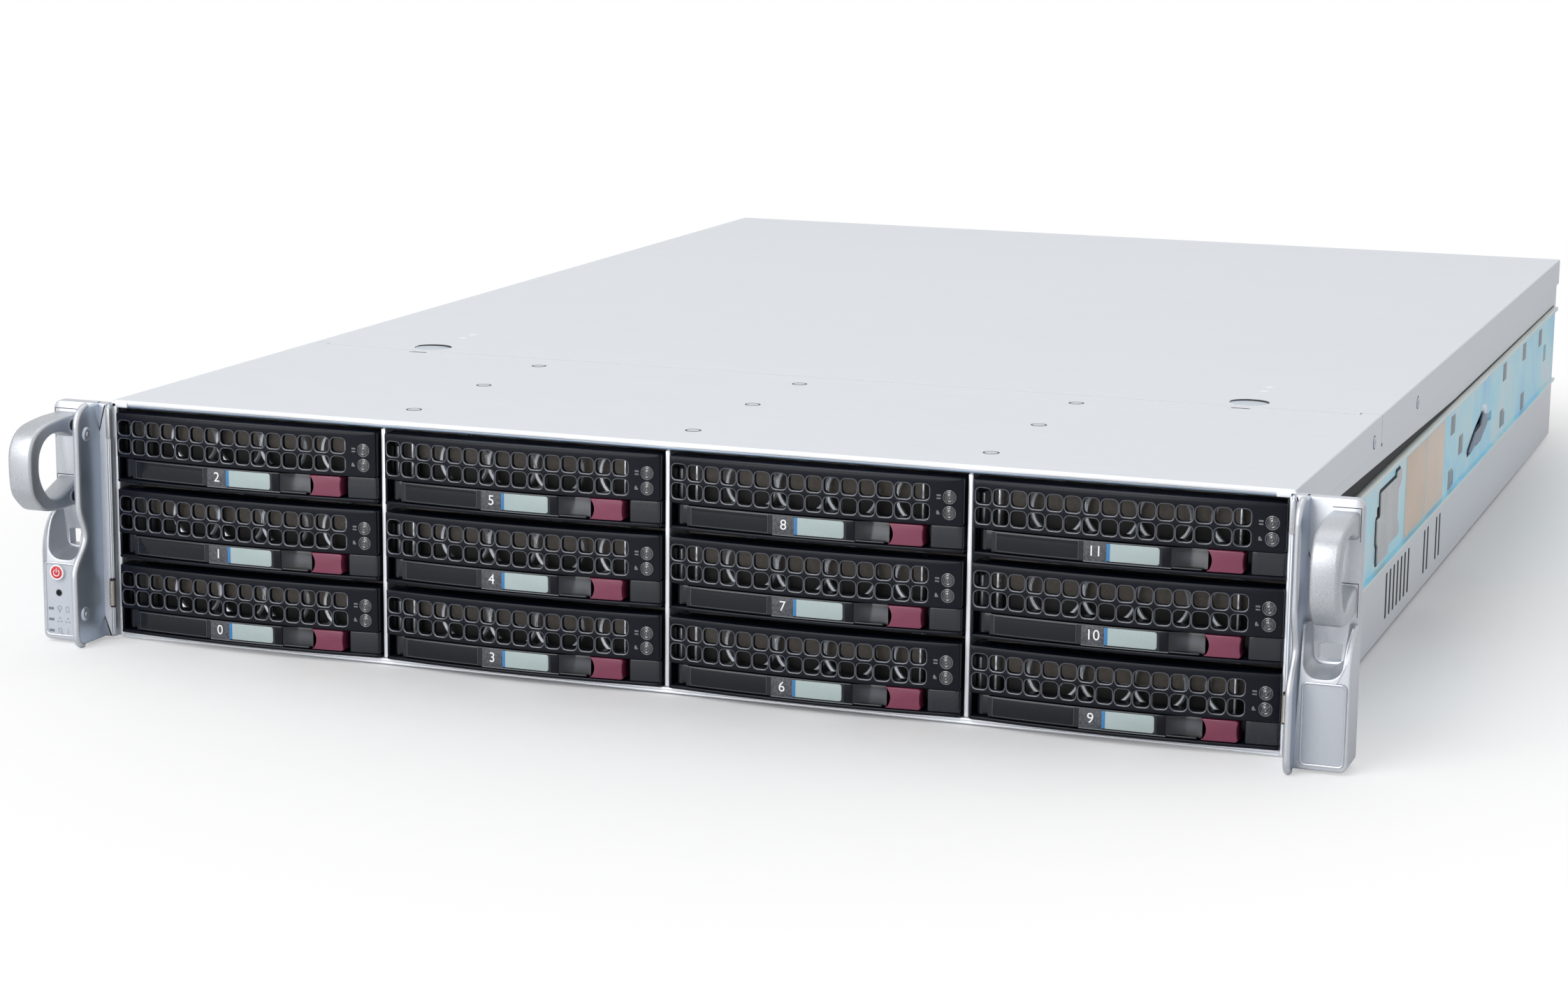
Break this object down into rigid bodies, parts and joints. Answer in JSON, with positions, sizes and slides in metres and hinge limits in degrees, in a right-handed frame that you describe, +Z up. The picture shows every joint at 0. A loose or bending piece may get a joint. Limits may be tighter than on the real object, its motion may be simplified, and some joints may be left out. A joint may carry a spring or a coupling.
{
  "type": "2u rack server",
  "caption": "Two-unit rack server with hot-swap drive carriers, levers, rack ears with pull handles, sliding top cover, fans and removable power supplies.",
  "frame": {"origin": "centre of the chassis underside, midway between its front and rear edges", "axes": "+X to the right seen from the front, +Y from the front to the rear, +Z up"},
  "size_m": [0.4826, 0.704, 0.0889],
  "materials": {
    "silver_sheet": "satin",
    "zinc_sheet": "satin",
    "cast_silver": "satin",
    "black_plastic": "satin",
    "gloss_black_plastic": "gloss",
    "maroon_plastic": "satin",
    "red_plastic": "gloss",
    "grey_plastic": "satin",
    "circuit_board": "satin",
    "heatsink_aluminium": "satin"
  },
  "bodies": {
    "chassis": {"chassis_base": "zinc_sheet", "front_cover": "silver_sheet", "drive_cage": "zinc_sheet", "backplane": "circuit_board", "left_ear": "cast_silver", "right_ear": "cast_silver", "front_handles": "cast_silver", "inner_rails": "zinc_sheet", "fan_frames": "black_plastic", "motherboard": "circuit_board", "cpu_heatsinks": "heatsink_aluminium", "slot_covers": "zinc_sheet"},
    "top_cover": {"top_cover": "silver_sheet"},
    "cover_latch_left": {"cover_latch_left": "zinc_sheet"},
    "cover_latch_right": {"cover_latch_right": "zinc_sheet"},
    "power_button": {"power_button": "red_plastic"},
    "reset_button": {"reset_button": "grey_plastic"},
    "carrier_00": {"carrier_00": "black_plastic"},
    "lever_00": {"lever_00": "gloss_black_plastic"},
    "release_tab_00": {"release_tab_00": "maroon_plastic"},
    "carrier_01": {"carrier_01": "black_plastic"},
    "lever_01": {"lever_01": "gloss_black_plastic"},
    "release_tab_01": {"release_tab_01": "maroon_plastic"},
    "carrier_02": {"carrier_02": "black_plastic"},
    "lever_02": {"lever_02": "gloss_black_plastic"},
    "release_tab_02": {"release_tab_02": "maroon_plastic"},
    "carrier_03": {"carrier_03": "black_plastic"},
    "lever_03": {"lever_03": "gloss_black_plastic"},
    "release_tab_03": {"release_tab_03": "maroon_plastic"},
    "carrier_04": {"carrier_04": "black_plastic"},
    "lever_04": {"lever_04": "gloss_black_plastic"},
    "release_tab_04": {"release_tab_04": "maroon_plastic"},
    "carrier_05": {"carrier_05": "black_plastic"},
    "lever_05": {"lever_05": "gloss_black_plastic"},
    "release_tab_05": {"release_tab_05": "maroon_plastic"},
    "carrier_06": {"carrier_06": "black_plastic"},
    "lever_06": {"lever_06": "gloss_black_plastic"},
    "release_tab_06": {"release_tab_06": "maroon_plastic"},
    "carrier_07": {"carrier_07": "black_plastic"},
    "lever_07": {"lever_07": "gloss_black_plastic"},
    "release_tab_07": {"release_tab_07": "maroon_plastic"},
    "carrier_08": {"carrier_08": "black_plastic"},
    "lever_08": {"lever_08": "gloss_black_plastic"},
    "release_tab_08": {"release_tab_08": "maroon_plastic"},
    "carrier_09": {"carrier_09": "black_plastic"},
    "lever_09": {"lever_09": "gloss_black_plastic"},
    "release_tab_09": {"release_tab_09": "maroon_plastic"},
    "carrier_10": {"carrier_10": "black_plastic"},
    "lever_10": {"lever_10": "gloss_black_plastic"},
    "release_tab_10": {"release_tab_10": "maroon_plastic"},
    "carrier_11": {"carrier_11": "black_plastic"},
    "lever_11": {"lever_11": "gloss_black_plastic"},
    "release_tab_11": {"release_tab_11": "maroon_plastic"},
    "fan_impeller_1": {"fan_impeller_1": "black_plastic"},
    "fan_impeller_2": {"fan_impeller_2": "black_plastic"},
    "fan_impeller_3": {"fan_impeller_3": "black_plastic"},
    "psu_lower": {"psu_lower": "zinc_sheet"},
    "psu_latch_lower": {"psu_latch_lower": "maroon_plastic"},
    "psu_upper": {"psu_upper": "zinc_sheet"},
    "psu_latch_upper": {"psu_latch_upper": "maroon_plastic"}
  },
  "joints": [
    {"name": "carrier_00_slide", "type": "slide", "parent": "chassis", "child": "carrier_00", "axis": [0, -1, 0], "range_m": [0, 0.2]},
    {"name": "lever_00_hinge", "type": "hinge", "parent": "carrier_00", "child": "lever_00", "pos_m": [-0.212, -0.3224, 0.00755], "axis": [0, 0, -1], "range_deg": [0, 60]},
    {"name": "release_tab_00_slide", "type": "slide", "parent": "carrier_00", "child": "release_tab_00", "axis": [1, 0, 0], "range_m": [0, 0.0018], "stiffness_N_per_m": 500},
    {"name": "carrier_01_slide", "type": "slide", "parent": "chassis", "child": "carrier_01", "axis": [0, -1, 0], "range_m": [0, 0.2]},
    {"name": "lever_01_hinge", "type": "hinge", "parent": "carrier_01", "child": "lever_01", "pos_m": [-0.212, -0.3224, 0.03585], "axis": [0, 0, -1], "range_deg": [0, 60]},
    {"name": "release_tab_01_slide", "type": "slide", "parent": "carrier_01", "child": "release_tab_01", "axis": [1, 0, 0], "range_m": [0, 0.0018], "stiffness_N_per_m": 500},
    {"name": "carrier_02_slide", "type": "slide", "parent": "chassis", "child": "carrier_02", "axis": [0, -1, 0], "range_m": [0, 0.2]},
    {"name": "lever_02_hinge", "type": "hinge", "parent": "carrier_02", "child": "lever_02", "pos_m": [-0.212, -0.3224, 0.06415], "axis": [0, 0, -1], "range_deg": [0, 60]},
    {"name": "release_tab_02_slide", "type": "slide", "parent": "carrier_02", "child": "release_tab_02", "axis": [1, 0, 0], "range_m": [0, 0.0018], "stiffness_N_per_m": 500},
    {"name": "carrier_03_slide", "type": "slide", "parent": "chassis", "child": "carrier_03", "axis": [0, -1, 0], "range_m": [0, 0.2]},
    {"name": "lever_03_hinge", "type": "hinge", "parent": "carrier_03", "child": "lever_03", "pos_m": [-0.103, -0.3224, 0.00755], "axis": [0, 0, -1], "range_deg": [0, 60]},
    {"name": "release_tab_03_slide", "type": "slide", "parent": "carrier_03", "child": "release_tab_03", "axis": [1, 0, 0], "range_m": [0, 0.0018], "stiffness_N_per_m": 500},
    {"name": "carrier_04_slide", "type": "slide", "parent": "chassis", "child": "carrier_04", "axis": [0, -1, 0], "range_m": [0, 0.2]},
    {"name": "lever_04_hinge", "type": "hinge", "parent": "carrier_04", "child": "lever_04", "pos_m": [-0.103, -0.3224, 0.03585], "axis": [0, 0, -1], "range_deg": [0, 60]},
    {"name": "release_tab_04_slide", "type": "slide", "parent": "carrier_04", "child": "release_tab_04", "axis": [1, 0, 0], "range_m": [0, 0.0018], "stiffness_N_per_m": 500},
    {"name": "carrier_05_slide", "type": "slide", "parent": "chassis", "child": "carrier_05", "axis": [0, -1, 0], "range_m": [0, 0.2]},
    {"name": "lever_05_hinge", "type": "hinge", "parent": "carrier_05", "child": "lever_05", "pos_m": [-0.103, -0.3224, 0.06415], "axis": [0, 0, -1], "range_deg": [0, 60]},
    {"name": "release_tab_05_slide", "type": "slide", "parent": "carrier_05", "child": "release_tab_05", "axis": [1, 0, 0], "range_m": [0, 0.0018], "stiffness_N_per_m": 500},
    {"name": "carrier_06_slide", "type": "slide", "parent": "chassis", "child": "carrier_06", "axis": [0, -1, 0], "range_m": [0, 0.2]},
    {"name": "lever_06_hinge", "type": "hinge", "parent": "carrier_06", "child": "lever_06", "pos_m": [0.006, -0.3224, 0.00755], "axis": [0, 0, -1], "range_deg": [0, 60]},
    {"name": "release_tab_06_slide", "type": "slide", "parent": "carrier_06", "child": "release_tab_06", "axis": [1, 0, 0], "range_m": [0, 0.0018], "stiffness_N_per_m": 500},
    {"name": "carrier_07_slide", "type": "slide", "parent": "chassis", "child": "carrier_07", "axis": [0, -1, 0], "range_m": [0, 0.2]},
    {"name": "lever_07_hinge", "type": "hinge", "parent": "carrier_07", "child": "lever_07", "pos_m": [0.006, -0.3224, 0.03585], "axis": [0, 0, -1], "range_deg": [0, 60]},
    {"name": "release_tab_07_slide", "type": "slide", "parent": "carrier_07", "child": "release_tab_07", "axis": [1, 0, 0], "range_m": [0, 0.0018], "stiffness_N_per_m": 500},
    {"name": "carrier_08_slide", "type": "slide", "parent": "chassis", "child": "carrier_08", "axis": [0, -1, 0], "range_m": [0, 0.2]},
    {"name": "lever_08_hinge", "type": "hinge", "parent": "carrier_08", "child": "lever_08", "pos_m": [0.006, -0.3224, 0.06415], "axis": [0, 0, -1], "range_deg": [0, 60]},
    {"name": "release_tab_08_slide", "type": "slide", "parent": "carrier_08", "child": "release_tab_08", "axis": [1, 0, 0], "range_m": [0, 0.0018], "stiffness_N_per_m": 500},
    {"name": "carrier_09_slide", "type": "slide", "parent": "chassis", "child": "carrier_09", "axis": [0, -1, 0], "range_m": [0, 0.2]},
    {"name": "lever_09_hinge", "type": "hinge", "parent": "carrier_09", "child": "lever_09", "pos_m": [0.115, -0.3224, 0.00755], "axis": [0, 0, -1], "range_deg": [0, 60]},
    {"name": "release_tab_09_slide", "type": "slide", "parent": "carrier_09", "child": "release_tab_09", "axis": [1, 0, 0], "range_m": [0, 0.0018], "stiffness_N_per_m": 500},
    {"name": "carrier_10_slide", "type": "slide", "parent": "chassis", "child": "carrier_10", "axis": [0, -1, 0], "range_m": [0, 0.2]},
    {"name": "lever_10_hinge", "type": "hinge", "parent": "carrier_10", "child": "lever_10", "pos_m": [0.115, -0.3224, 0.03585], "axis": [0, 0, -1], "range_deg": [0, 60]},
    {"name": "release_tab_10_slide", "type": "slide", "parent": "carrier_10", "child": "release_tab_10", "axis": [1, 0, 0], "range_m": [0, 0.0018], "stiffness_N_per_m": 500},
    {"name": "carrier_11_slide", "type": "slide", "parent": "chassis", "child": "carrier_11", "axis": [0, -1, 0], "range_m": [0, 0.2]},
    {"name": "lever_11_hinge", "type": "hinge", "parent": "carrier_11", "child": "lever_11", "pos_m": [0.115, -0.3224, 0.06415], "axis": [0, 0, -1], "range_deg": [0, 60]},
    {"name": "release_tab_11_slide", "type": "slide", "parent": "carrier_11", "child": "release_tab_11", "axis": [1, 0, 0], "range_m": [0, 0.0018], "stiffness_N_per_m": 500},
    {"name": "top_cover_slide", "type": "slide", "parent": "chassis", "child": "top_cover", "axis": [0, 1, 0], "range_m": [0, 0.38]},
    {"name": "cover_latch_left_press", "type": "slide", "parent": "top_cover", "child": "cover_latch_left", "axis": [0, 0, -1], "range_m": [0, 0.0015], "stiffness_N_per_m": 2000},
    {"name": "cover_latch_right_press", "type": "slide", "parent": "top_cover", "child": "cover_latch_right", "axis": [0, 0, -1], "range_m": [0, 0.0015], "stiffness_N_per_m": 2000},
    {"name": "power_button_press", "type": "slide", "parent": "chassis", "child": "power_button", "axis": [0, 1, 0], "range_m": [0, 0.0012], "stiffness_N_per_m": 800},
    {"name": "reset_button_press", "type": "slide", "parent": "chassis", "child": "reset_button", "axis": [0, 1, 0], "range_m": [0, 0.001], "stiffness_N_per_m": 800},
    {"name": "fan_1_spin", "type": "hinge", "parent": "chassis", "child": "fan_impeller_1", "pos_m": [-0.155, -0.073, 0.041], "axis": [0, 1, 0], "continuous": true},
    {"name": "fan_2_spin", "type": "hinge", "parent": "chassis", "child": "fan_impeller_2", "pos_m": [-0.043, -0.073, 0.041], "axis": [0, 1, 0], "continuous": true},
    {"name": "fan_3_spin", "type": "hinge", "parent": "chassis", "child": "fan_impeller_3", "pos_m": [0.069, -0.073, 0.041], "axis": [0, 1, 0], "continuous": true},
    {"name": "psu_lower_slide", "type": "slide", "parent": "chassis", "child": "psu_lower", "axis": [0, 1, 0], "range_m": [0, 0.28]},
    {"name": "psu_latch_lower_press", "type": "slide", "parent": "psu_lower", "child": "psu_latch_lower", "axis": [-1, 0, 0], "range_m": [0, 0.003], "stiffness_N_per_m": 500},
    {"name": "psu_upper_slide", "type": "slide", "parent": "chassis", "child": "psu_upper", "axis": [0, 1, 0], "range_m": [0, 0.28]},
    {"name": "psu_latch_upper_press", "type": "slide", "parent": "psu_upper", "child": "psu_latch_upper", "axis": [-1, 0, 0], "range_m": [0, 0.003], "stiffness_N_per_m": 500}
  ]
}
